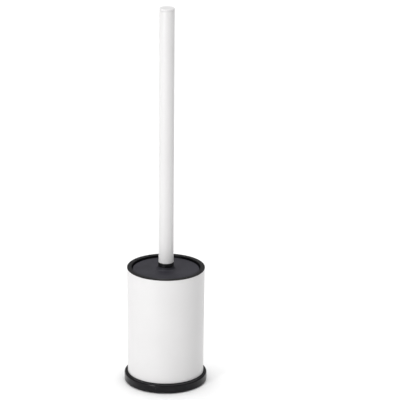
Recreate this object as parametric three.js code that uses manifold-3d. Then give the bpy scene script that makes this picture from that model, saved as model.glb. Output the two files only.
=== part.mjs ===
// Free-standing toilet brush holder: a painted steel sleeve between a moulded base and rim, a lift-out drip
// bucket inside it, and a tubular-handled brush whose lid closes the rim.
// Millimetres, +Z up, origin on the floor at the centre of the base.

import * as THREE from "three";
import { mergeVertices } from "three/addons/utils/BufferGeometryUtils.js";
import Module from "manifold-3d";

const wasm = await Module();
wasm.setup();

// ---------------------------------------------------------------- driving dimensions

const TOTAL_HEIGHT = 412; // floor to the top of the handle cap
const RIM_HEIGHT = 128.3; // floor to the top of the holder's rim
const RIM_DIAMETER = 83;

const SLEEVE_WALL = 0.6; // sheet steel
const SLEEVE_TAPER = 0.8; // how much smaller the sleeve's bottom radius is than its top one
const RIM_OVERHANG = 0.2; // rim's edge past the sleeve

const RIM_WIDTH = 4.9; // visible top face of the ring
const RIM_LIP = 0.9; // thickness of the lip that lies over the sleeve's edge
const RIM_EDGE_ROUND = 0.5;
const RIM_SKIRT_DEPTH = 16; // reach of the ring down inside the sleeve
const RIM_SKIRT_WALL = 1.6;
const LEDGE_WIDTH = 2; // inward step that carries the bucket
const LEDGE_THICKNESS = 1.8;

const BASE_OVERHANG = 3.7; // base's edge past the sleeve's bottom
const BASE_SIDE_TOP = 9.7; // height of the base's upright side
const BASE_SLOPE_RISE = 1; // rise of the base's top from its side to the sleeve
const BASE_EDGE_ROUND = 0.7;
const BASE_FLOOR = 2.6; // thickness of the base's plate
const BASE_SPIGOT_RISE = 14.6; // upstand inside the sleeve, above the plate
const BASE_SPIGOT_WALL = 1.6;

const PAD_COUNT = 4;
const PAD_DIAMETER = 12;
const PAD_THICKNESS = 1.6;
const PAD_PROUD = 0.8; // how far a pad stands out below the base
const PAD_INSET = 10.2; // from the base's edge to a pad's centre
const PAD_EDGE_ROUND = 0.3;

const BUCKET_WALL = 1.2;
const BUCKET_FLANGE = 1.2;
const BUCKET_DRAFT = 1; // how much smaller the bucket's bottom radius is than its top one
const BUCKET_FLOOR_ROUND = 3;
const BUCKET_ABOVE_BASE = 2.6; // air between the base's plate and the bucket

const LID_RECESS = 2.3; // rim's top down to the lid's edge
const LID_THICKNESS = 2.2; // at its edge
const LID_CHAMFER = 0.4;
const LID_CROWN = 0.4; // rise of the lid's top from its edge to its boss
const LID_SKIRT_DEPTH = 3.5;
const LID_SKIRT_WALL = 1.6;
const BOSS_FILLET = 3;
const BOSS_OVERHANG = 0.7; // boss's top radius past the handle's

const HANDLE_DIAMETER = 16;
const HANDLE_WALL = 0.8;
const CAP_HEAD = 2;
const CAP_EDGE_ROUND = 0.8;
const CAP_SPIGOT = 12;
const COLLAR_HEIGHT = 4.2; // black collar that shows between the lid and the handle
const COLLAR_OVERHANG = 0.4; // collar's radius past the handle's
const PLUG_DEPTH = 22; // reach of the plug up the handle
const PLUG_CHAMFER = 1;

const JOURNAL_RADIUS = 6.1; // the neck that turns in the lid
const SCREW_RADIUS = 4.9;
const SCREW_LENGTH = 18;
const SHOULDER_RADIUS = 11;
const SHOULDER_HEIGHT = 4;
const BARREL_RADIUS = 12; // the core that holds the tufts
const BARREL_DOME = 6;

const HEAD_TAPER = 2.4; // how much smaller the bristles' radius is at their lower end
const HEAD_ABOVE_BUCKET = 21; // drip space between the bristles and the bucket's floor
const TIP_BRISTLES = 15.5; // bristle length below the core's end
const ROW_COUNT = 8;
const FIRST_ROW_BELOW_LID = 10.4;
const LAST_ROW_ABOVE_DOME = 4;
const TUFTS_PER_ROW = 12;
const TUFT_ROOT_RADIUS = 2;
const TUFT_SIDES = 5;
const ROOT_BAND = 0.9; // thickness of the band that ties a row's tufts together
const SHOULDER_TUFTS = { count: 8, tilt: 40 }; // around the core's dome, tilted down by degrees
const SHOULDER_INSET = 4; // how far they stay inside the lowest row's reach
const TIP_TUFTS = { count: 5, tilt: 66, length: 16 };

const SLIP = 0.3; // around pieces that slide past each other
const PRESS = 0.1; // around pieces that are pressed or glued together
const SEAT = 0.1; // under a piece that rests on another
const TURN = 0.2; // around the neck that turns
const LID_GAP = 1; // around the lid, in the rim
const BUCKET_GAP = 0.6; // around the bucket, inside the ledge
const LID_SKIRT_GAP = 0.4; // around the lid's skirt, in the bucket
const BRISTLE_GAP = 1.3; // around the bristles, in the bucket
const ROW_GAP = 0.6; // between one row of tufts and the next

const ROUND_STEPS = 48; // facets around the large rounds
const SMALL_STEPS = 24; // facets around the handle and the core
const ARC_STEPS = 2;

// ---------------------------------------------------------------- worked out from them

const rimRadius = RIM_DIAMETER / 2;
const recessRadius = rimRadius - RIM_WIDTH;
const sleeveTop = RIM_HEIGHT - RIM_LIP - SEAT;
const sleeveTopRadius = rimRadius - RIM_OVERHANG;
const sleeveBottomRadius = sleeveTopRadius - SLEEVE_TAPER;

const baseBottom = PAD_PROUD;
const baseFloorTop = baseBottom + BASE_FLOOR;
const baseRadius = sleeveBottomRadius + BASE_OVERHANG;
const sleeveBottom = baseFloorTop + SEAT;

const lidEdgeTop = RIM_HEIGHT - LID_RECESS;
const lidUnderside = lidEdgeTop - LID_THICKNESS;
const lidRadius = recessRadius - LID_GAP;
const flangeTop = lidUnderside - SEAT;
const flangeBottom = flangeTop - BUCKET_FLANGE;
const ledgeTop = flangeBottom - SEAT;
const ledgeRadius = recessRadius - LEDGE_WIDTH;

const bucketRadius = ledgeRadius - BUCKET_GAP;
const bucketBore = bucketRadius - BUCKET_WALL;
const bucketBottom = baseFloorTop + BUCKET_ABOVE_BASE;
const bucketFloorTop = bucketBottom + BUCKET_WALL;

const handleRadius = HANDLE_DIAMETER / 2;
const handleBore = handleRadius - HANDLE_WALL;
const bossBottom = lidEdgeTop + LID_CROWN;
const bossTop = bossBottom + BOSS_FILLET;
const bossRadius = handleRadius + BOSS_OVERHANG;
const collarBottom = bossTop + SLIP;
const collarTop = collarBottom + COLLAR_HEIGHT;
const handleBottom = collarTop + SEAT;
const handleTop = TOTAL_HEIGHT - CAP_HEAD - SEAT;

const shoulderTop = lidUnderside - SLIP;
const journalTop = collarBottom - SEAT;
const headTip = bucketFloorTop + HEAD_ABOVE_BUCKET;
const barrelEnd = headTip + TIP_BRISTLES;
const domeTop = barrelEnd + BARREL_DOME;
const headRadius = bucketBore - BRISTLE_GAP;
const firstRow = lidUnderside - FIRST_ROW_BELOW_LID;
const lastRow = domeTop + LAST_ROW_ABOVE_DOME;
const rowPitch = (firstRow - lastRow) / (ROW_COUNT - 1);
const tuftTipRadius = (rowPitch - ROW_GAP) / 2;
const tuftRootRadius = Math.min(TUFT_ROOT_RADIUS, tuftTipRadius);
const bandRadius = BARREL_RADIUS + PRESS;

// ---------------------------------------------------------------- materials

function finish(color, roughness, metalness = 0) {
  return new THREE.MeshStandardMaterial({ color, roughness, metalness });
}

const whitePaint = finish(0xecebea, 0.38);
const blackPlastic = finish(0x2b2b2e, 0.5);
const charcoalPlastic = finish(0x403f46, 0.6);
const glossyBlack = finish(0x1a1a1c, 0.35);
const bristleBlack = finish(0x121213, 0.7);
const padRubber = finish(0x1e1e1f, 0.9);

// ---------------------------------------------------------------- shape helpers

const along = (degrees, length) => [
  length * Math.cos(THREE.MathUtils.degToRad(degrees)),
  length * Math.sin(THREE.MathUtils.degToRad(degrees)),
];

// Points of an arc in the (radius, height) plane, both ends included.
function arc(radius, height, size, from, to, steps = ARC_STEPS) {
  return Array.from({ length: steps + 1 }, (_, i) => {
    const [r, z] = along(from + ((to - from) * i) / steps, size);
    return [radius + r, height + z];
  });
}

// A (radius, height) outline, solid on its left, turned about the Z axis.
function turned(outline, steps = ROUND_STEPS) {
  const points = outline.map(([r, z]) => new THREE.Vector2(r, z));
  return new THREE.LatheGeometry(points, steps).rotateX(Math.PI / 2);
}

const closed = (outline) => [...outline, outline[0]];

// A closed mesh as a solid that can be joined and cut.
function solid(geometry) {
  const bare = geometry.clone();
  bare.deleteAttribute("normal");
  bare.deleteAttribute("uv");
  const merged = mergeVertices(bare, 1e-4);
  const corners = Array.from(merged.index.array);
  const faces = [];
  for (let i = 0; i < corners.length; i += 3) {
    const [a, b, c] = corners.slice(i, i + 3);
    if (a !== b && b !== c && c !== a) faces.push(a, b, c);
  }
  return new wasm.Manifold(
    new wasm.Mesh({
      numProp: 3,
      vertProperties: merged.attributes.position.array,
      triVerts: new Uint32Array(faces),
    }),
  );
}

function geometryOf(made) {
  const mesh = made.getMesh();
  const geometry = new THREE.BufferGeometry();
  geometry.setAttribute("position", new THREE.BufferAttribute(mesh.vertProperties, 3));
  geometry.setIndex(new THREE.BufferAttribute(mesh.triVerts, 1));
  geometry.computeVertexNormals();
  return geometry;
}

function piece(name, geometry, material) {
  const mesh = new THREE.Mesh(geometry, material);
  mesh.name = name;
  return mesh;
}

// ---------------------------------------------------------------- holder

// The sleeve's outer radius at a height: it widens evenly towards the rim.
function sleeveRadius(height) {
  const share = (height - sleeveBottom) / (sleeveTop - sleeveBottom);
  return sleeveBottomRadius + SLEEVE_TAPER * share;
}

function holderSleeve() {
  const outline = [
    [sleeveBottomRadius - SLEEVE_WALL, sleeveBottom],
    [sleeveBottomRadius, sleeveBottom],
    [sleeveTopRadius, sleeveTop],
    [sleeveTopRadius - SLEEVE_WALL, sleeveTop],
  ];
  return piece("holder_sleeve", turned(closed(outline)), whitePaint);
}

function topRim() {
  const lipBottom = RIM_HEIGHT - RIM_LIP;
  const skirtBottom = ledgeTop - RIM_SKIRT_DEPTH + LEDGE_THICKNESS;
  const skirtOuter = (height) => sleeveRadius(height) - SLEEVE_WALL - PRESS;
  const outline = [
    [ledgeRadius, ledgeTop - LEDGE_THICKNESS],
    [skirtOuter(skirtBottom) - RIM_SKIRT_WALL, ledgeTop - LEDGE_THICKNESS],
    [skirtOuter(skirtBottom) - RIM_SKIRT_WALL, skirtBottom],
    [skirtOuter(skirtBottom), skirtBottom],
    [skirtOuter(lipBottom), lipBottom],
    [rimRadius, lipBottom],
    ...arc(rimRadius - RIM_EDGE_ROUND, RIM_HEIGHT - RIM_EDGE_ROUND, RIM_EDGE_ROUND, 0, 90),
    ...arc(recessRadius + RIM_EDGE_ROUND, RIM_HEIGHT - RIM_EDGE_ROUND, RIM_EDGE_ROUND, 90, 180),
    [recessRadius, ledgeTop],
    [ledgeRadius, ledgeTop],
  ];
  return piece("top_rim", turned(closed(outline)), blackPlastic);
}

const padPlaces = Array.from({ length: PAD_COUNT }, (_, i) =>
  along(45 + (360 * i) / PAD_COUNT, baseRadius - PAD_INSET),
);

function baseCup() {
  const grooveOuter = sleeveRadius(BASE_SIDE_TOP + BASE_SLOPE_RISE) + PRESS;
  const grooveInner = sleeveBottomRadius - SLEEVE_WALL - PRESS;
  const slope = (180 / Math.PI) * Math.atan2(BASE_OVERHANG, BASE_SLOPE_RISE);
  const spigotTop = baseFloorTop + BASE_SPIGOT_RISE;
  const outline = [
    [0, baseBottom],
    ...arc(baseRadius - BASE_EDGE_ROUND, baseBottom + BASE_EDGE_ROUND, BASE_EDGE_ROUND, -90, 0),
    ...arc(baseRadius - BASE_EDGE_ROUND, BASE_SIDE_TOP - BASE_EDGE_ROUND, BASE_EDGE_ROUND, 0, slope),
    [grooveOuter, BASE_SIDE_TOP + BASE_SLOPE_RISE],
    [grooveOuter, baseFloorTop],
    [grooveInner, baseFloorTop],
    [grooveInner, spigotTop],
    [grooveInner - BASE_SPIGOT_WALL, spigotTop],
    [grooveInner - BASE_SPIGOT_WALL, baseFloorTop],
    [0, baseFloorTop],
  ];
  let cup = solid(turned(outline));
  const recessDepth = PAD_THICKNESS - PAD_PROUD + SEAT;
  for (const [x, y] of padPlaces) {
    const recess = [
      [0, baseBottom - 1],
      [PAD_DIAMETER / 2 + PRESS, baseBottom - 1],
      [PAD_DIAMETER / 2 + PRESS, baseBottom + recessDepth],
      [0, baseBottom + recessDepth],
    ];
    cup = cup.subtract(solid(turned(recess, SMALL_STEPS).translate(x, y, 0)));
  }
  return piece("base_cup", geometryOf(cup), blackPlastic);
}

function footPad(index) {
  const radius = PAD_DIAMETER / 2;
  const outline = [
    [0, 0],
    ...arc(radius - PAD_EDGE_ROUND, PAD_EDGE_ROUND, PAD_EDGE_ROUND, -90, 0, 2),
    [radius, PAD_THICKNESS],
    [0, PAD_THICKNESS],
  ];
  const pad = piece(`foot_pad_${index + 1}`, turned(outline, SMALL_STEPS), padRubber);
  pad.position.set(...padPlaces[index], 0);
  return pad;
}

// ---------------------------------------------------------------- drip bucket

function dripBucket() {
  const bottomRadius = bucketRadius - BUCKET_DRAFT;
  const bottomBore = bottomRadius - BUCKET_WALL;
  const innerRound = BUCKET_FLOOR_ROUND - BUCKET_WALL;
  const corner = bucketBottom + BUCKET_FLOOR_ROUND;
  const outline = [
    [0, bucketBottom],
    ...arc(bottomRadius - BUCKET_FLOOR_ROUND, corner, BUCKET_FLOOR_ROUND, -90, 0),
    [bucketRadius, flangeBottom],
    [lidRadius, flangeBottom],
    [lidRadius, flangeTop],
    [bucketBore, flangeTop],
    ...arc(bottomBore - innerRound, corner, innerRound, 0, -90),
    [0, bucketFloorTop],
  ];
  return piece("drip_bucket", turned(outline), blackPlastic);
}

// ---------------------------------------------------------------- lid

function lid() {
  const bore = JOURNAL_RADIUS + TURN;
  const skirtRadius = bucketBore - LID_SKIRT_GAP;
  const outline = [
    [bore, lidUnderside],
    [skirtRadius - LID_SKIRT_WALL, lidUnderside],
    [skirtRadius - LID_SKIRT_WALL, lidUnderside - LID_SKIRT_DEPTH],
    [skirtRadius, lidUnderside - LID_SKIRT_DEPTH],
    [skirtRadius, lidUnderside],
    [lidRadius, lidUnderside],
    [lidRadius, lidEdgeTop - LID_CHAMFER],
    [lidRadius - LID_CHAMFER, lidEdgeTop],
    ...arc(bossRadius + BOSS_FILLET, bossTop, BOSS_FILLET, 270, 180, 2 * ARC_STEPS),
    [bore, bossTop],
  ];
  return piece("lid", turned(closed(outline)), charcoalPlastic);
}

// ---------------------------------------------------------------- handle

function handleTube() {
  const outline = [
    [handleBore, handleBottom],
    [handleRadius, handleBottom],
    [handleRadius, handleTop],
    [handleBore, handleTop],
  ];
  return piece("handle_tube", turned(closed(outline), SMALL_STEPS), whitePaint);
}

function handleCap() {
  const headBottom = handleTop + SEAT;
  const outline = [
    [0, handleTop - CAP_SPIGOT],
    [handleBore - PRESS, handleTop - CAP_SPIGOT],
    [handleBore - PRESS, headBottom],
    [handleRadius, headBottom],
    ...arc(handleRadius - CAP_EDGE_ROUND, TOTAL_HEIGHT - CAP_EDGE_ROUND, CAP_EDGE_ROUND, 0, 90),
    [0, TOTAL_HEIGHT],
  ];
  return piece("handle_cap", turned(outline, SMALL_STEPS), whitePaint);
}

function handlePlug() {
  const collarRadius = handleRadius + COLLAR_OVERHANG;
  const plugRadius = handleBore - PRESS;
  const plugTop = handleBottom + PLUG_DEPTH;
  const screwBore = SCREW_RADIUS + PRESS;
  const screwEnd = collarBottom + SCREW_LENGTH + SEAT;
  const outline = [
    [screwBore, collarBottom],
    [collarRadius, collarBottom],
    [collarRadius, collarTop],
    [plugRadius, collarTop],
    [plugRadius, plugTop - PLUG_CHAMFER],
    [plugRadius - PLUG_CHAMFER, plugTop],
    [0, plugTop],
    [0, screwEnd],
    [screwBore, screwEnd],
  ];
  return piece("handle_plug", turned(closed(outline), SMALL_STEPS), glossyBlack);
}

// ---------------------------------------------------------------- brush head

// The outline of the core's domed end, from the axis to the barrel's side, grown by a gap.
function dome(gap) {
  const steps = 3 * ARC_STEPS;
  return Array.from({ length: steps + 1 }, (_, i) => {
    const [r, z] = along(-90 + (90 * i) / steps, 1);
    return [i === 0 ? 0 : (BARREL_RADIUS + gap) * r, domeTop + (BARREL_DOME + gap) * z];
  });
}

function brushCore() {
  const outline = [
    ...dome(0),
    [BARREL_RADIUS, shoulderTop - SHOULDER_HEIGHT],
    [SHOULDER_RADIUS, shoulderTop],
    [JOURNAL_RADIUS, shoulderTop],
    [JOURNAL_RADIUS, journalTop],
    [SCREW_RADIUS, journalTop],
    [SCREW_RADIUS, journalTop + SCREW_LENGTH],
    [0, journalTop + SCREW_LENGTH],
  ];
  return piece("brush_core", turned(outline, SMALL_STEPS), glossyBlack);
}

// One tuft: a bundle that flares from its root, pointing outwards and tilted down by an angle in degrees.
function tuft(rootRadius, rootHeight, length, tilt, turn) {
  return new THREE.CylinderGeometry(tuftTipRadius, tuftRootRadius, length, TUFT_SIDES)
    .translate(0, length / 2, 0)
    .rotateZ(-Math.PI / 2)
    .rotateY(THREE.MathUtils.degToRad(tilt))
    .translate(rootRadius, 0, rootHeight)
    .rotateZ(turn);
}

function joined(geometries) {
  return wasm.Manifold.union(geometries.map(solid));
}

// The bristles' outer radius at a height: it narrows evenly towards the tip.
function bristleRadius(height) {
  return headRadius - (HEAD_TAPER * (lidUnderside - height)) / (lidUnderside - headTip);
}

// One level row: tufts around a thin band. Every second row is turned by half a tuft's step.
function bristleRow(index) {
  const height = firstRow - rowPitch * index;
  const outline = [
    [bandRadius, height - tuftRootRadius],
    [bandRadius + ROOT_BAND, height - tuftRootRadius],
    [bandRadius + ROOT_BAND, height + tuftRootRadius],
    [bandRadius, height + tuftRootRadius],
  ];
  const band = turned(closed(outline), SMALL_STEPS);
  const root = bandRadius + ROOT_BAND / 2;
  const length = bristleRadius(height) - root;
  const step = (2 * Math.PI) / TUFTS_PER_ROW;
  const tufts = Array.from({ length: TUFTS_PER_ROW }, (_, i) =>
    tuft(root, height, length, 0, step * (i + (index % 2) / 2)),
  );
  return piece(`bristle_row_${index + 1}`, geometryOf(joined([band, ...tufts])), bristleBlack);
}

// The tufts on the core's domed end: two slanted rings and one that points straight down.
function bristleTip() {
  const [shoulderOut, shoulderDown] = along(SHOULDER_TUFTS.tilt, 1);
  const shoulderReach = headRadius - HEAD_TAPER - SHOULDER_INSET - tuftTipRadius * shoulderDown;
  const shoulder = { ...SHOULDER_TUFTS, length: shoulderReach / shoulderOut - BARREL_RADIUS };
  const ring = ({ count, tilt, length }) => {
    const [out, down] = along(tilt, 1);
    const step = (2 * Math.PI) / count;
    return Array.from({ length: count }, (_, i) =>
      tuft(out * BARREL_RADIUS, domeTop - down * BARREL_DOME, length, tilt, step * (i + 0.5)),
    );
  };
  const middle = { count: 1, tilt: 90, length: TIP_BRISTLES };
  const tufts = [shoulder, TIP_TUFTS, middle].flatMap(ring);
  const root = turned([...dome(PRESS + ROOT_BAND), [0, domeTop]], SMALL_STEPS);
  const core = turned([...dome(PRESS), [bandRadius, domeTop + 1], [0, domeTop + 1]], SMALL_STEPS);
  const made = joined([root, ...tufts]).subtract(solid(core));
  return piece("bristle_tip", geometryOf(made), bristleBlack);
}

// ---------------------------------------------------------------- assembly

const holder = new THREE.Group();
holder.add(holderSleeve(), topRim(), baseCup());
for (let i = 0; i < PAD_COUNT; i += 1) holder.add(footPad(i));

const bucket = new THREE.Group();
bucket.add(dripBucket());

const lidGroup = new THREE.Group();
lidGroup.add(lid());

const brush = new THREE.Group();
brush.add(handleTube(), handleCap(), handlePlug(), brushCore());
for (let i = 0; i < ROW_COUNT; i += 1) brush.add(bristleRow(i));
brush.add(bristleTip());

const model = new THREE.Group();
model.add(holder, bucket, lidGroup, brush);

export default model;
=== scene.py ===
# %% [markdown]
# # A toilet brush holder
# The object is a white painted sleeve between a black moulded base and rim, a drip bucket that lifts out of
# it, and a brush whose lid closes the rim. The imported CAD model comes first, because it fixes every size and
# place: each piece below is made again at those sizes, with the rounded edges and finishes that a maker gives
# it.

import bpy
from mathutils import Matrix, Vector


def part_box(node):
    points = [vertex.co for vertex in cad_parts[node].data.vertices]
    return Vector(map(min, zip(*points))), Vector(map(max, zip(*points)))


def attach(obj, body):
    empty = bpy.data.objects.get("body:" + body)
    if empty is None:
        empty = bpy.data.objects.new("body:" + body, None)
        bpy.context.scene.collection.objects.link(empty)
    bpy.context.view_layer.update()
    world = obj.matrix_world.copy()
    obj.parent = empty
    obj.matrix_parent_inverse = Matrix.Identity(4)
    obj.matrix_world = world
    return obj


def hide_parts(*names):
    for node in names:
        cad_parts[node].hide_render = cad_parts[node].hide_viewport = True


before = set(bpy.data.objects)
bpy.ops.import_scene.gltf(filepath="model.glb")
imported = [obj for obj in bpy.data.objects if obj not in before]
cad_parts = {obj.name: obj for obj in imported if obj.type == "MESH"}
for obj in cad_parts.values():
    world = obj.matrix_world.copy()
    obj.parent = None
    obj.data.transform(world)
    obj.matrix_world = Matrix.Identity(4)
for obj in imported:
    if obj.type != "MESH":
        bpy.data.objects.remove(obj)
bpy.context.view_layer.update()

# %% The other modules, and millimetres
import math

import bpy
import numpy as np
from mathutils import Quaternion, Vector

MM = 0.001


def size_of(node):
    """(largest radius, lowest height, highest height) of a round CAD node on the Z axis, in millimetres."""
    low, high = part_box(node)
    return high.x / MM, low.z / MM, high.z / MM


for node in ("top_rim", "base_cup", "handle_tube"):
    print(node, [round(value, 2) for value in size_of(node)])

# %% [markdown]
# ## Camera
# A long lens from almost three metres away keeps the upright edges nearly parallel, as in a catalogue
# picture. The camera looks down by about a fifth of a right angle and aims beside the handle, which puts the
# object left of the middle without shifting the lens. A trace of roll gives the handle its slight lean.

# %% Camera
CAMERA_AWAY = 2.68
CAMERA_HEIGHT = 1.107
AIM_BESIDE = 0.0356
AIM_HEIGHT = 0.2032
ROLL = math.radians(0.48)
CAMERA_LENS = 241.2

camera_data = bpy.data.cameras.new("catalogue_camera")
camera_data.lens = CAMERA_LENS
camera = bpy.data.objects.new("catalogue_camera", camera_data)
camera.location = (0, -CAMERA_AWAY, CAMERA_HEIGHT)
aim = Vector((AIM_BESIDE, 0, AIM_HEIGHT)) - camera.location
camera.rotation_mode = "QUATERNION"
camera.rotation_quaternion = aim.to_track_quat("-Z", "Y") @ Quaternion((0, 0, 1), ROLL)
bpy.context.scene.collection.objects.link(camera)
bpy.context.scene.camera = camera
print("camera looks down by", round(math.degrees(math.asin(-aim.normalized().z)), 2), "degrees")

# %% [markdown]
# ## Colours and nodes
# Colours are picked as sRGB hex values, the way a paint card gives them, and the renderer wants linear light,
# so one function turns them. One more function adds any node with its settings and links, which keeps each
# material short enough to read as a recipe.

# %% Colour and node helpers
def linear(hex_colour):
    """An sRGB hex colour as linear RGBA."""
    channels = [int(hex_colour[i : i + 2], 16) / 255 for i in (1, 3, 5)]
    return [c / 12.92 if c <= 0.04045 else ((c + 0.055) / 1.055) ** 2.4 for c in channels] + [1]


def add_node(tree, kind, inputs=None, **settings):
    """Adds a node. Each input is a value or another node's output; settings are the node's own properties."""
    made = tree.nodes.new(kind)
    for name, value in settings.items():
        setattr(made, name, value)
    for name, value in (inputs or {}).items():
        if isinstance(value, bpy.types.NodeSocket):
            tree.links.new(value, made.inputs[name])
        else:
            made.inputs[name].default_value = value
    return made


def per_mm(pattern_mm):
    """The texture scale whose cells are that many millimetres wide, on coordinates in metres."""
    return 1 / (pattern_mm * MM)


MIX_A, MIX_B, MIX_OUT = 6, 7, 2  # the colour sockets of a Mix node
NOISE_LOW, NOISE_HIGH = 0.3, 0.7  # nearly all of a noise texture's values lie between these
print("paper white is", [round(c, 3) for c in linear("#F5F5F5")])

# %% [markdown]
# ## Powder-coated steel
# The sleeve and the handle are steel with a white polyester powder coat, sprayed dry and melted in an oven.
# It flows out almost flat, but a skin like orange peel stays, with bumps about a millimetre and a half apart
# and a fiftieth of a millimetre high. That skin is why the finish is satin: it blurs reflections into soft
# bands. The coat is a plastic, so it is not metallic and has an IOR near 1.5.

# %% Powder coat
def powder_coated_steel(name, colour, shaded_colour, roughness):
    """White polyester powder coat over steel. roughness is (lowest, highest)."""
    material = bpy.data.materials.new(name)
    material.use_nodes = True
    tree = material.node_tree
    shader = tree.nodes["Principled BSDF"]
    place = add_node(tree, "ShaderNodeTexCoord").outputs["Object"]
    peel_mm, speck_mm, cloud_mm = 1.5, 0.4, 30
    peel_height_mm, speck_height_mm = 0.02, 0.003
    peel = add_node(tree, "ShaderNodeTexNoise", {"Vector": place, "Scale": per_mm(peel_mm), "Detail": 1.5})
    speck = add_node(tree, "ShaderNodeTexNoise", {"Vector": place, "Scale": per_mm(speck_mm), "Detail": 0})
    cloud = add_node(tree, "ShaderNodeTexNoise", {"Vector": place, "Scale": per_mm(cloud_mm), "Detail": 2})
    tone = add_node(
        tree,
        "ShaderNodeMix",
        {"Factor": cloud.outputs["Fac"], MIX_A: linear(colour), MIX_B: linear(shaded_colour)},
        data_type="RGBA",
    )
    gloss = add_node(
        tree,
        "ShaderNodeMapRange",
        {
            "Value": cloud.outputs["Fac"],
            "From Min": NOISE_LOW,
            "From Max": NOISE_HIGH,
            "To Min": roughness[0],
            "To Max": roughness[1],
        },
    )
    skin = add_node(
        tree,
        "ShaderNodeBump",
        {"Height": peel.outputs["Fac"], "Distance": peel_height_mm * MM, "Strength": 1.0},
    )
    grain = add_node(
        tree,
        "ShaderNodeBump",
        {
            "Height": speck.outputs["Fac"],
            "Distance": speck_height_mm * MM,
            "Strength": 1.0,
            "Normal": skin.outputs["Normal"],
        },
    )
    tree.links.new(tone.outputs[MIX_OUT], shader.inputs["Base Color"])
    tree.links.new(gloss.outputs["Result"], shader.inputs["Roughness"])
    tree.links.new(grain.outputs["Normal"], shader.inputs["Normal"])
    shader.inputs["IOR"].default_value = 1.5
    return material


white_powder_coat = powder_coated_steel("powder_coated_steel_white", "#DDDCDC", "#D8D7D7", (0.32, 0.4))
print("made", white_powder_coat.name)

# %% [markdown]
# ## Moulded plastics
# The rim, base and bucket are black polypropylene and the lid is charcoal ABS, all injection moulded. The
# rim's, the bucket's and the lid's moulds were spark eroded, which leaves a fine even grain that scatters
# light; where the plastic filled the mould last, or where hands touch it, the grain is a little glossier, so
# roughness drifts slowly over the surface. The base, the white cap, the collar and the brush's core come from
# polished moulds, so they get a finer, shallower grain, and the base's edge draws a clear line of light.

# %% Moulded plastic
def moulded_plastic(name, colour, worn_colour, roughness, grain_mm, grain_depth_mm, specular=0.5):
    """Injection-moulded plastic with an eroded grain. worn_colour shows where it is rubbed or dusty."""
    material = bpy.data.materials.new(name)
    material.use_nodes = True
    tree = material.node_tree
    shader = tree.nodes["Principled BSDF"]
    place = add_node(tree, "ShaderNodeTexCoord").outputs["Object"]
    flow_mm = 22
    grain = add_node(tree, "ShaderNodeTexNoise", {"Vector": place, "Scale": per_mm(grain_mm), "Detail": 3})
    flow = add_node(tree, "ShaderNodeTexNoise", {"Vector": place, "Scale": per_mm(flow_mm), "Detail": 3})
    rubbed = add_node(
        tree, "ShaderNodeMapRange", {"Value": flow.outputs["Fac"], "From Min": 0.35, "From Max": 0.75}
    )
    tone = add_node(
        tree,
        "ShaderNodeMix",
        {"Factor": rubbed.outputs["Result"], MIX_A: linear(colour), MIX_B: linear(worn_colour)},
        data_type="RGBA",
    )
    gloss = add_node(
        tree,
        "ShaderNodeMapRange",
        {
            "Value": flow.outputs["Fac"],
            "From Min": NOISE_LOW,
            "From Max": NOISE_HIGH,
            "To Min": roughness[1],
            "To Max": roughness[0],
        },
    )
    skin = add_node(
        tree,
        "ShaderNodeBump",
        {"Height": grain.outputs["Fac"], "Distance": grain_depth_mm * MM, "Strength": 1.0},
    )
    tree.links.new(tone.outputs[MIX_OUT], shader.inputs["Base Color"])
    tree.links.new(gloss.outputs["Result"], shader.inputs["Roughness"])
    tree.links.new(skin.outputs["Normal"], shader.inputs["Normal"])
    shader.inputs["IOR"].default_value = 1.49
    shader.inputs["Specular IOR Level"].default_value = specular
    return material


black_polypropylene = moulded_plastic(
    "moulded_polypropylene_black", "#0A090B", "#100F12", (0.36, 0.46), 0.5, 0.01, 0.2
)
polished_black_polypropylene = moulded_plastic(
    "polished_polypropylene_black", "#0B0A0D", "#111013", (0.2, 0.28), 0.5, 0.004, 0.22
)
charcoal_abs = moulded_plastic("moulded_abs_charcoal", "#2B2A30", "#313037", (0.5, 0.62), 0.4, 0.014, 0.2)
polished_black_abs = moulded_plastic("polished_abs_black", "#0E0E0F", "#131314", (0.25, 0.34), 0.6, 0.003)
polished_white_abs = moulded_plastic("polished_abs_white", "#DEDDDD", "#D9D8D8", (0.32, 0.4), 0.8, 0.004)
soft_rubber = moulded_plastic("soft_rubber_black", "#161617", "#202021", (0.75, 0.9), 0.3, 0.02, 0.3)
print("made", [material.name for material in bpy.data.materials])

# %% [markdown]
# ## Turned shapes
# Every hard piece is round about one upright axis, so the natural way to make it is the lathe's: draw half of
# its section and turn it. Blender's Screw modifier would do that, but a small function of our own gives
# closed ends on the axis and clean quads. A second function rounds the section's corners, since nothing
# moulded or rolled has a truly sharp edge, and it is the rounded edges that catch the light.

# %% Section and lathe helpers
def rounded(corners, steps=6):
    """A closed outline from (radius, height, rounding) corners, with an arc at each rounded one."""
    outline = []
    for i, (radius, height, rounding) in enumerate(corners):
        here = Vector((radius, height))
        if not rounding:
            outline.append(here)
            continue
        back = (Vector(corners[i - 1][:2]) - here).normalized()
        onward = (Vector(corners[(i + 1) % len(corners)][:2]) - here).normalized()
        half = back.angle(onward) / 2
        centre = (back + onward).normalized() / math.sin(half)
        first = back / math.tan(half) - centre
        last = onward / math.tan(half) - centre
        outline += [here + rounding * (centre + first.slerp(last, k / steps)) for k in range(steps + 1)]
    return outline


def smooth_mesh(name, vertices, faces, sharp_above=40):
    """A smooth-shaded object, in metres. Edges that bend by over sharp_above degrees stay sharp."""
    mesh = bpy.data.meshes.new(name)
    mesh.from_pydata(vertices, [], faces)
    mesh.shade_smooth()
    mesh.set_sharp_from_angle(angle=math.radians(sharp_above))
    made = bpy.data.objects.new(name, mesh)
    bpy.context.scene.collection.objects.link(made)
    return made


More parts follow.
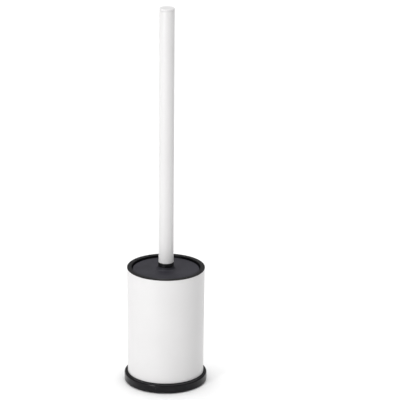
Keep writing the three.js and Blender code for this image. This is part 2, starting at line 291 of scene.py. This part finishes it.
def turned(name, outline, segments=240, centre=(0, 0)):
    """Turns a closed outline in millimetres, solid on its left, about an upright axis at centre."""
    vertices, rings = [], []
    for radius, height in outline:
        around = 1 if radius < 1e-6 else segments
        rings.append([len(vertices) + (j if around > 1 else 0) for j in range(segments)])
        for j in range(around):
            angle = 2 * math.pi * j / segments
            x = centre[0] + radius * math.cos(angle)
            y = centre[1] + radius * math.sin(angle)
            vertices.append((x * MM, y * MM, height * MM))
    faces = []
    for low, high in zip(rings, rings[1:] + rings[:1]):
        for j in range(segments):
            k = (j + 1) % segments
            corners = [low[j], low[k], high[k], high[j]]
            face = [c for n, c in enumerate(corners) if c != corners[n - 1]]
            if len(set(face)) > 2:
                faces.append(face)
    made = smooth_mesh(name, vertices, faces)
    made.modifiers.new("even_shading", "WEIGHTED_NORMAL").keep_sharp = True
    return made


def fit(piece, body, slot, material, *nodes):
    """Paints a piece, hangs it on its CAD body, and lets it stand for CAD nodes."""
    piece.data.materials.append(material)
    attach(piece, body)
    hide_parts(*nodes)
    print(piece.name, "rides on", body, "and has", len(piece.data.polygons), "faces")


square = [(1, 0, 0.2), (2, 0, 0.2), (2, 1, 0.2), (1, 1, 0.2)]
print("a square with rounded corners has", len(rounded(square)), "points")

# %% [markdown]
# ## Sleeve
# The sleeve is a strip of sheet steel rolled into a tube a little narrower at the bottom, butt welded,
# dressed flush and painted. The weld shows under the paint as a faint upright bead at the back. It could be
# painted on with a bump, but real geometry keeps it visible along the edge of the reflections, so the lathe
# gets enough facets there to lift a few columns of points by a tenth of a millimetre.

# %% Sleeve
SLEEVE_WALL = 0.6
SLEEVE_TAPER = 0.8
WELD_WIDTH = 1.8
WELD_PROUD = 0.1
WELD_AT = math.radians(90)

sleeve_radius, sleeve_bottom, sleeve_top = size_of("holder_sleeve")
sleeve_foot = sleeve_radius - SLEEVE_TAPER
sleeve = turned(
    "holder_sleeve_painted",
    rounded([
        (sleeve_foot - SLEEVE_WALL, sleeve_bottom, 0.15),
        (sleeve_foot, sleeve_bottom, 0.15),
        (sleeve_radius, sleeve_top, 0.15),
        (sleeve_radius - SLEEVE_WALL, sleeve_top, 0.15),
    ]),
    segments=720,
)
for vertex in sleeve.data.vertices:
    out = vertex.co.xy.length
    beside = abs(math.atan2(vertex.co.y, vertex.co.x) - WELD_AT) * out / MM
    if out / MM > sleeve_foot - SLEEVE_WALL / 2 and beside < WELD_WIDTH / 2:
        lift = WELD_PROUD * math.cos(math.pi * beside / WELD_WIDTH) ** 2
        vertex.co.xy *= 1 + lift * MM / out
fit(sleeve, "holder", "white_paint", white_powder_coat, "holder_sleeve")

# %% [markdown]
# ## Rim
# The rim is one moulded ring. Its lip covers the sleeve's raw edge, a skirt grips the inside of the sleeve,
# and a step inside carries the bucket. The top is broad and its edges are well rounded, because hands and the
# lid meet it.

# %% Rim
RIM_WIDTH = 4.9
RIM_LIP = 0.9
LEDGE_WIDTH = 2
LEDGE_THICKNESS = 1.8
RIM_SKIRT_WALL = 1.6
PRESS_GAP = 0.1
SEAT_GAP = 0.1

rim_radius, skirt_bottom, rim_top = size_of("top_rim")
recess_radius = rim_radius - RIM_WIDTH
ledge_radius = recess_radius - LEDGE_WIDTH


def sleeve_radius_at(height):
    """The sleeve's outer radius at a height, in millimetres."""
    share = (height - sleeve_bottom) / (sleeve_top - sleeve_bottom)
    return sleeve_foot + SLEEVE_TAPER * share


skirt_radius = sleeve_radius_at(skirt_bottom) - SLEEVE_WALL - PRESS_GAP
lip_bottom = rim_top - RIM_LIP
flange_radius, bucket_bottom, flange_top = size_of("drip_bucket")
FLANGE_THICKNESS = 1.2
flange_bottom = flange_top - FLANGE_THICKNESS
ledge_top = flange_bottom - SEAT_GAP
rim = turned(
    "top_rim_moulded",
    rounded([
        (ledge_radius, ledge_top - LEDGE_THICKNESS, 0.3),
        (skirt_radius - RIM_SKIRT_WALL, ledge_top - LEDGE_THICKNESS, 0.6),
        (skirt_radius - RIM_SKIRT_WALL, skirt_bottom, 0.4),
        (skirt_radius, skirt_bottom, 0.5),
        (sleeve_radius_at(lip_bottom) - SLEEVE_WALL - PRESS_GAP, lip_bottom, 0.1),
        (rim_radius, lip_bottom, 0.1),
        (rim_radius, rim_top, 0.35),
        (recess_radius, rim_top, 0.5),
        (recess_radius, ledge_top, 0.3),
        (ledge_radius, ledge_top, 0.3),
    ]),
)
fit(rim, "holder", "black_plastic", black_polypropylene, "top_rim")

# %% [markdown]
# ## Base and foot pads
# The base is a shallow moulded cup. The sleeve stands in a groove between its sloping outer wall and an
# upstand. Underneath it has a shallow panel, which keeps the moulding flat, and four pockets that hold rubber
# pads. The pockets don't lie on the axis, so they are cut with a boolean, and the pads are turned about their
# own axes.

# %% Base
BASE_SIDE_TOP = 9.7
BASE_SLOPE_RISE = 1
BASE_FLOOR = 2.6
SPIGOT_WALL = 1.6
PANEL_RADIUS = 24
PANEL_DEPTH = 0.4

base_radius, base_bottom, spigot_top = size_of("base_cup")
slope_top = BASE_SIDE_TOP + BASE_SLOPE_RISE
base_floor = base_bottom + BASE_FLOOR
groove_outer = sleeve_radius_at(slope_top) + PRESS_GAP
groove_inner = sleeve_foot - SLEEVE_WALL - PRESS_GAP
base = turned(
    "base_cup_moulded",
    rounded([
        (0, base_bottom + PANEL_DEPTH, 0),
        (PANEL_RADIUS, base_bottom + PANEL_DEPTH, 0.2),
        (PANEL_RADIUS + PANEL_DEPTH, base_bottom, 0.3),
        (base_radius, base_bottom, 0.7),
        (base_radius, BASE_SIDE_TOP, 2),
        (groove_outer, slope_top, 0.2),
        (groove_outer, base_floor, 0.2),
        (groove_inner, base_floor, 0.2),
        (groove_inner, spigot_top, 0.4),
        (groove_inner - SPIGOT_WALL, spigot_top, 0.4),
        (groove_inner - SPIGOT_WALL, base_floor, 0.8),
        (0, base_floor, 0),
    ]),
)
print("base", round(2 * base_radius, 1), "mm across")

# %% Foot pads and their pockets
PAD_NODES = [f"foot_pad_{i}" for i in range(1, 5)]
PAD_SEGMENTS = 96
PAD_EDGE_ROUND = 0.35
CUT_FROM = -1  # the cutter starts this far below the floor, so that it opens the base's underside

for node in PAD_NODES:
    low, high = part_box(node)
    centre = [(low[i] + high[i]) / 2 / MM for i in (0, 1)]
    radius, top = (high.x - low.x) / 2 / MM, high.z / MM
    reach, roof = radius + PRESS_GAP, top + SEAT_GAP
    cutter = [Vector(corner) for corner in ((0, CUT_FROM), (reach, CUT_FROM), (reach, roof), (0, roof))]
    pocket = turned("pocket", cutter, PAD_SEGMENTS, centre)
    cut = base.modifiers.new("pocket", "BOOLEAN")
    cut.object, cut.operation, cut.solver = pocket, "DIFFERENCE", "EXACT"
    base.modifiers.move(len(base.modifiers) - 1, 0)
    with bpy.context.temp_override(object=base):
        bpy.ops.object.modifier_apply(modifier=cut.name)
    bpy.data.objects.remove(pocket)
    section = rounded([(0, 0, 0), (radius, 0, PAD_EDGE_ROUND), (radius, top, 0.1), (0, top, 0)])
    pad = turned(f"{node}_rubber", section, PAD_SEGMENTS, centre)
    fit(pad, "holder", "pad_rubber", soft_rubber, node)
fit(base, "holder", "black_plastic", polished_black_polypropylene, "base_cup")

# %% [markdown]
# ## Drip bucket
# The bucket catches what drips off the brush and lifts out to be emptied. Its flange hangs on the rim's step,
# its wall narrows downwards so that it leaves the mould, and its floor meets the wall in a round that a cloth
# can reach.

# %% Drip bucket
BUCKET_WALL = 1.2
BUCKET_DRAFT = 1
BUCKET_GAP = 0.6
BUCKET_ROUND = 3

bucket_radius = ledge_radius - BUCKET_GAP
bucket_bore = bucket_radius - BUCKET_WALL
bucket = turned(
    "drip_bucket_moulded",
    rounded([
        (0, bucket_bottom, 0),
        (bucket_radius - BUCKET_DRAFT, bucket_bottom, BUCKET_ROUND),
        (bucket_radius, flange_bottom, 0.2),
        (flange_radius, flange_bottom, 0.3),
        (flange_radius, flange_top, 0.4),
        (bucket_bore, flange_top, 0.5),
        (bucket_bore - BUCKET_DRAFT, bucket_bottom + BUCKET_WALL, BUCKET_ROUND - BUCKET_WALL),
        (0, bucket_bottom + BUCKET_WALL, 0),
    ]),
)
fit(bucket, "bucket", "black_plastic", black_polypropylene, "drip_bucket")

# %% [markdown]
# ## Lid
# The lid is a thin charcoal disc that drops into the rim. A low boss swells out of its middle in a hollow
# curve and carries the handle's weight, and a skirt underneath centres it in the bucket.

# %% Lid
LID_RECESS = 2.3
LID_THICKNESS = 2.2
LID_CROWN = 0.4
LID_SKIRT_WALL = 1.6
LID_SKIRT_GAP = 0.4
BOSS_ROUND = 2.9
BOSS_OVERHANG = 0.7
NECK_GAP = 0.2
NECK_RADIUS = 6.1

lid_radius, lid_skirt_bottom, boss_top = size_of("lid")
tube_radius, tube_bottom, tube_top = size_of("handle_tube")
lid_edge_top = rim_top - LID_RECESS
lid_underside = lid_edge_top - LID_THICKNESS
boss_radius = tube_radius + BOSS_OVERHANG
lid_bore = NECK_RADIUS + NECK_GAP
lid_skirt_radius = bucket_bore - LID_SKIRT_GAP
lid = turned(
    "lid_moulded",
    rounded([
        (lid_bore, lid_underside, 0.2),
        (lid_skirt_radius - LID_SKIRT_WALL, lid_underside, 0.5),
        (lid_skirt_radius - LID_SKIRT_WALL, lid_skirt_bottom, 0.3),
        (lid_skirt_radius, lid_skirt_bottom, 0.5),
        (lid_skirt_radius, lid_underside, 0.2),
        (lid_radius, lid_underside, 0.3),
        (lid_radius, lid_edge_top, 0.5),
        (boss_radius, lid_edge_top + LID_CROWN, BOSS_ROUND),
        (boss_radius, boss_top, 0.3),
        (lid_bore, boss_top, 0.2),
    ]),
)
fit(lid, "lid", "charcoal_plastic", charcoal_abs, "lid")

# %% [markdown]
# ## Handle
# The handle is a thin-walled tube with the same white coat. A moulded cap closes its top, with a hairline
# joint below its rounded head. A plug closes the bottom; its glossy black collar is all that shows of it,
# between the tube and the lid.

# %% Handle tube and cap
TUBE_WALL = 0.8

tube_bore = tube_radius - TUBE_WALL
tube = turned(
    "handle_tube_painted",
    rounded([
        (tube_bore, tube_bottom, 0.2),
        (tube_radius, tube_bottom, 0.25),
        (tube_radius, tube_top, 0.2),
        (tube_bore, tube_top, 0.2),
    ]),
)
fit(tube, "brush", "white_paint", white_powder_coat, "handle_tube")
_, cap_bottom, cap_top = size_of("handle_cap")
cap_radius = tube_bore - PRESS_GAP
cap = turned(
    "handle_cap_moulded",
    rounded([
        (0, cap_bottom, 0),
        (cap_radius, cap_bottom, 0.6),
        (cap_radius, tube_top + SEAT_GAP, 0.1),
        (tube_radius, tube_top + SEAT_GAP, 0.2),
        (tube_radius, cap_top, 0.9),
        (0, cap_top, 0),
    ]),
)
fit(cap, "brush", "white_plastic", polished_white_abs, "handle_cap")

# %% Handle plug and collar
SCREW_RADIUS = 4.9
SCREW_LENGTH = 18

collar_radius, collar_bottom, plug_top = size_of("handle_plug")
collar_top = tube_bottom - SEAT_GAP
screw_end = collar_bottom + SCREW_LENGTH + SEAT_GAP
plug = turned(
    "handle_plug_moulded",
    rounded([
        (SCREW_RADIUS + PRESS_GAP, collar_bottom, 0.2),
        (collar_radius, collar_bottom, 0.35),
        (collar_radius, collar_top, 0.35),
        (cap_radius, collar_top, 0.1),
        (cap_radius, plug_top, 1),
        (0, plug_top, 0),
        (0, screw_end, 0),
        (SCREW_RADIUS + PRESS_GAP, screw_end, 0.2),
    ]),
)
fit(plug, "brush", "gloss_black_plastic", polished_black_abs, "handle_plug")

# %% [markdown]
# ## Brush core
# The core is a moulded barrel with a domed end. A neck rises from it through the lid and ends in the spigot
# that screws into the plug. The tufts hide nearly all of it.

# %% Brush core
SHOULDER_RADIUS = 11
SHOULDER_HEIGHT = 4
DOME_HEIGHT = 6
DOME_STEPS = 12
RUNNING_GAP = 0.3

barrel_radius, barrel_end, screw_top = size_of("brush_core")
shoulder_top = lid_underside - RUNNING_GAP
neck_top = collar_bottom - SEAT_GAP
dome_base = barrel_end + DOME_HEIGHT


def on_dome(angle):
    """The (radius, height) point of the core's domed end at an angle below level, in degrees."""
    a = math.radians(angle)
    return barrel_radius * math.cos(a), dome_base - DOME_HEIGHT * math.sin(a)


dome = [Vector(on_dome(90 - step * 90 / DOME_STEPS)) for step in range(DOME_STEPS + 1)]
dome[0].x = 0
core = turned(
    "brush_core_moulded",
    dome
    + rounded([
        (barrel_radius, shoulder_top - SHOULDER_HEIGHT, 0),
        (SHOULDER_RADIUS, shoulder_top, 0),
        (NECK_RADIUS, shoulder_top, 0),
        (NECK_RADIUS, neck_top, 0),
        (SCREW_RADIUS, neck_top, 0),
        (SCREW_RADIUS, screw_top, 0),
        (0, screw_top, 0),
    ]),
    segments=96,
)
fit(core, "brush", "gloss_black_plastic", polished_black_abs, "brush_core")

# %% [markdown]
# ## Bristle filament
# The bristles are black polypropylene filaments, crimped between toothed rollers so that they fill the space
# between the tufts. Their sides hardly shine, so the head is the blackest thing on the object. The tips are
# painted a little greyer, as painted light where they stand out into the lamps, and the roots darker, as
# painted shade deep inside the tufts. A number kept on every point, from the root to the tip, drives that
# change.

# %% Filament material
def crimped_filament(name, shaded_root_colour, lit_tip_colour):
    """Black filament painted greyer towards its cut tip as painted light, and near black at the root as
    painted shade.
    """
    material = bpy.data.materials.new(name)
    material.use_nodes = True
    tree = material.node_tree
    shader = tree.nodes["Principled BSDF"]
    shade = add_node(tree, "ShaderNodeAttribute", attribute_name="towards_tip")
    # This mix paints light on the tips and shade at the roots.
    tone = add_node(
        tree,
        "ShaderNodeMix",
        {"Factor": shade.outputs["Fac"], MIX_A: linear(shaded_root_colour), MIX_B: linear(lit_tip_colour)},
        data_type="RGBA",
    )
    gloss = add_node(
        tree, "ShaderNodeMapRange", {"Value": shade.outputs["Fac"], "To Min": 0.4, "To Max": 0.65}
    )
    tree.links.new(tone.outputs[MIX_OUT], shader.inputs["Base Color"])
    tree.links.new(gloss.outputs["Result"], shader.inputs["Roughness"])
    shader.inputs["IOR"].default_value = 1.49
    shader.inputs["Specular IOR Level"].default_value = 0.2
    return material


# Painted light and shade: the tips are painted greyer as if lit, and the roots near black as if shaded inside
# the tufts.
black_filament = crimped_filament("crimped_polypropylene_filament", "#040404", "#0D0D0E")
print("made", black_filament.name)

# %% [markdown]
# ## Tufts
# A machine punches each tuft into the core as a folded bundle, which then fans out. Blender's hair would do
# it quickly, but a model that others open has to keep its bristles as a mesh, so each filament is a thin
# three-sided tube here. They are drawn a little thicker than the real 0.4 mm, because the real ones are too
# fine to show. All filaments of a row are worked out at once as arrays, which makes thousands of them in a
# moment. The cut is ragged, but no tip stands out so far that it would reach the bucket's wall.

# %% Filament helper
FILAMENT_RADIUS = 0.27
CRIMP_HEIGHT = 0.5
CRIMP_LENGTH = 3.6
CRIMP_STEPS = 14
CRIMP_FREE = 0.25  # the share of a filament, from its root, over which the crimp grows
TIP_THINNING = 0.8
TUFT_HOLE = 1.1
TUFT_SPREAD = 3.1
RAGGED = 1.3
LONGEST_OVER = 0.6
SIDES = 3

random = np.random.default_rng(7)


def unit(vectors):
    """Each row at length one."""
    return vectors / np.linalg.norm(vectors, axis=1, keepdims=True)


def bundle(roots, tips, filaments):
    """Centre lines, as points by steps by xyz in millimetres, of the filaments of tufts from roots to tips."""
    roots, tips = (np.repeat(np.array(ends, float), filaments, axis=0) for ends in (roots, tips))
    along = unit(tips - roots)
    side = unit(np.cross(along, random.normal(size=along.shape)))
    other = np.cross(along, side)
    count = len(roots)
    turn = random.uniform(0, 2 * np.pi, (count, 1))
    out = np.sqrt(random.uniform(0, 1, (count, 1)))
    fan = out * (np.cos(turn) * side + np.sin(turn) * other)
    start = roots + TUFT_HOLE * fan
    over = random.normal(0, RAGGED / 2, (count, 1)).clip(-2 * RAGGED, LONGEST_OVER)
    end = tips + TUFT_SPREAD * fan + over * along
    share = np.linspace(0, 1, CRIMP_STEPS)[None, :, None]
    length = np.linalg.norm(end - start, axis=1)[:, None, None]
    phase = random.uniform(0, 2 * np.pi, (count, 1, 1))
    lean = random.uniform(0, 2 * np.pi, (count, 1))
    wave_side = (np.cos(lean) * side + np.sin(lean) * other)[:, None, :]
    wave = np.sin(2 * np.pi * length * share / CRIMP_LENGTH + phase) * np.minimum(share / CRIMP_FREE, 1)
    return start[:, None] + (end - start)[:, None] * share + CRIMP_HEIGHT * wave * wave_side, side, other


def filament_mesh(name, roots, tips, filaments):
    """One mesh of closed three-sided filaments, with the share of the way to the tip kept on every point."""
    lines, side, other = bundle(roots, tips, filaments)
    count, steps = lines.shape[:2]
    angles = 2 * np.pi * np.arange(SIDES) / SIDES
    ring = np.cos(angles)[None, :, None] * side[:, None] + np.sin(angles)[None, :, None] * other[:, None]
    thickness = FILAMENT_RADIUS * np.linspace(1, TIP_THINNING, steps)[None, :, None, None]
    points = (lines[:, :, None] + thickness * ring[:, None]).reshape(-1, 3) * MM
    first = (np.arange(count) * steps * SIDES)[:, None, None]
    step = (np.arange(steps - 1) * SIDES)[None, :, None]
    edge = np.arange(SIDES)[None, None, :]
    following = (edge + 1) % SIDES
    low = first + step
    walls = np.stack([low + edge, low + following, low + SIDES + following, low + SIDES + edge], axis=-1)
    ends = first[:, 0] + np.arange(SIDES)[None, :]
    faces = walls.reshape(-1, 4).tolist() + ends[:, ::-1].tolist() + (ends + (steps - 1) * SIDES).tolist()
    made = smooth_mesh(name, points.tolist(), faces, sharp_above=180)
    # The share of the way to the tip drives the painted light on the tips and the painted shade at the roots.
    towards_tip = made.data.attributes.new("towards_tip", "FLOAT", "POINT")
    share = np.linspace(0, 1, steps) ** 3  # cubed, so that only the last part turns grey
    towards_tip.data.foreach_set("value", np.tile(np.repeat(share, SIDES), count).astype(np.float32))
    return made


def ring_of(radius, height, count, shift):
    """Points around the axis, in millimetres."""
    angles = 2 * math.pi * (np.arange(count) + shift) / count
    return np.stack([radius * np.cos(angles), radius * np.sin(angles), np.full(count, height)], axis=1)


print("a tuft has", bundle([[12, 0, 0]], [[31, 0, 0]], 5)[0].shape, "points for 5 filaments")

# %% Level rows
RINGS_PER_ROW = 2
TUFTS_PER_RING = 18
FILAMENTS = 13
HIDDEN_ROOT = 0.6
ROW_NODES = [f"bristle_row_{i}" for i in range(1, 9)]


def row_height(node):
    """The height of a row's middle, in millimetres."""
    low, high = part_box(node)
    return (low.z + high.z) / 2 / MM


row_pitch = (row_height(ROW_NODES[0]) - row_height(ROW_NODES[-1])) / (len(ROW_NODES) - 1)
for index, node in enumerate(ROW_NODES):
    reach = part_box(node)[1].x / MM
    roots, tips = [], []
    for ring in range(RINGS_PER_ROW):
        height = row_height(node) + row_pitch * (0.5 - (ring + 0.5) / RINGS_PER_ROW)
        shift = (index * RINGS_PER_ROW + ring) % 2 / 2
        roots.append(ring_of(barrel_radius - HIDDEN_ROOT, height, TUFTS_PER_RING, shift))
        tips.append(ring_of(reach, height, TUFTS_PER_RING, shift))
    row = filament_mesh(f"{node}_filaments", np.concatenate(roots), np.concatenate(tips), FILAMENTS)
    fit(row, "brush", "bristle", black_filament, node)

# %% [markdown]
# The domed end carries rings of tufts that turn from level to straight down. Each tuft runs from the dome to
# a larger, deeper oval, so the brush ends in a full round.

# %% Tip
ROOT_DEPTH = 0.95
TIP_ANGLES = {12: 18, 26: 18, 40: 16, 54: 13, 67: 9, 79: 5, 90: 1}

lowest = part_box("bristle_tip")[0].z / MM
tip_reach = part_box(ROW_NODES[-1])[1].x / MM
tip_roots, tip_ends = [], []
for ring, (angle, count) in enumerate(TIP_ANGLES.items()):
    a = math.radians(angle)
    radius, height = on_dome(angle)
    tip_roots.append(ring_of(radius * ROOT_DEPTH, height + HIDDEN_ROOT * math.sin(a), count, ring % 2 / 2))
    end_height = dome_base - (dome_base - lowest) * math.sin(a)
    tip_ends.append(ring_of(tip_reach * math.cos(a), end_height, count, ring % 2 / 2))
tip = filament_mesh("bristle_tip_filaments", np.concatenate(tip_roots), np.concatenate(tip_ends), FILAMENTS)
fit(tip, "brush", "bristle", black_filament, "bristle_tip")

# %% [markdown]
# ## Studio
# The object stands on a plain pale floor that runs out of the picture. A white ceiling whitens the floor
# evenly however far it runs: it is a sun lamp spread over 80 degrees, because an area light would leave the
# far floor grey. An upright strip stands at the left and in front, about twice as high as the object, and
# gives the sleeve its slow fall from white to grey. The surroundings stay dim, so that the black pieces stay
# black, and only the camera sees them as white as the floor.

# %% Floor
floor_material = bpy.data.materials.new("pale_studio_floor")
floor_material.use_nodes = True
floor_tree = floor_material.node_tree
floor_place = add_node(floor_tree, "ShaderNodeTexCoord").outputs["Object"]
floor_cloud_mm = 400
floor_cloud = add_node(
    floor_tree, "ShaderNodeTexNoise", {"Vector": floor_place, "Scale": per_mm(floor_cloud_mm), "Detail": 1}
)
floor_tone = add_node(
    floor_tree,
    "ShaderNodeMix",
    {"Factor": floor_cloud.outputs["Fac"], MIX_A: linear("#F6F6F6"), MIX_B: linear("#F3F3F3")},
    data_type="RGBA",
)
floor_shader = floor_tree.nodes["Principled BSDF"]
floor_tree.links.new(floor_tone.outputs[MIX_OUT], floor_shader.inputs["Base Color"])
floor_shader.inputs["Roughness"].default_value = 0.9
floor_shader.inputs["Specular IOR Level"].default_value = 0.1
FLOOR_HALF = 12
floor_corners = [(x * FLOOR_HALF, y * FLOOR_HALF, 0) for x, y in ((-1, -1), (1, -1), (1, 1), (-1, 1))]
floor = smooth_mesh("studio_floor", floor_corners, [(0, 1, 2, 3)])
floor.data.materials.append(floor_material)
print("floor", 2 * FLOOR_HALF, "m across")

# %% Lights and surroundings
def soft_box(name, place, target, width, height, power):
    """An area light at place that faces target, in metres and watts."""
    data = bpy.data.lights.new(name, "AREA")
    data.shape = "RECTANGLE"
    data.size, data.size_y, data.energy = width, height, power
    light = bpy.data.objects.new(name, data)
    light.location = place
    light.rotation_mode = "QUATERNION"
    light.rotation_quaternion = (Vector(target) - Vector(place)).to_track_quat("-Z", "Y")
    bpy.context.scene.collection.objects.link(light)


MIDDLE = (0, 0, 0.15)
CEILING_SPREAD = math.radians(80)
CEILING_TILT = math.radians(-8)
CEILING_ENERGY = 2.9
SURROUNDINGS = 0.27

soft_box("left_strip", (-1.25, -1.68, 0.45), MIDDLE, width=0.32, height=0.9, power=20)
ceiling_data = bpy.data.lights.new("white_ceiling", "SUN")
ceiling_data.angle = CEILING_SPREAD
ceiling_data.energy = CEILING_ENERGY
ceiling = bpy.data.objects.new("white_ceiling", ceiling_data)
ceiling.rotation_euler = (CEILING_TILT, 0, 0)
bpy.context.scene.collection.objects.link(ceiling)

world = bpy.data.worlds.new("studio_surroundings")
world.use_nodes = True
world_tree = world.node_tree
dim = world_tree.nodes["Background"]
dim.inputs["Color"].default_value = linear("#FFFFFF")
dim.inputs["Strength"].default_value = SURROUNDINGS
seen = add_node(world_tree, "ShaderNodeBackground", {"Color": linear("#FFFFFF"), "Strength": 1.0})
is_camera = add_node(world_tree, "ShaderNodeLightPath").outputs["Is Camera Ray"]
either = add_node(
    world_tree,
    "ShaderNodeMixShader",
    {0: is_camera, 1: dim.outputs["Background"], 2: seen.outputs["Background"]},
)
world_tree.links.new(either.outputs["Shader"], world_tree.nodes["World Output"].inputs["Surface"])
bpy.context.scene.world = world
bpy.context.scene.view_settings.view_transform = "Standard"
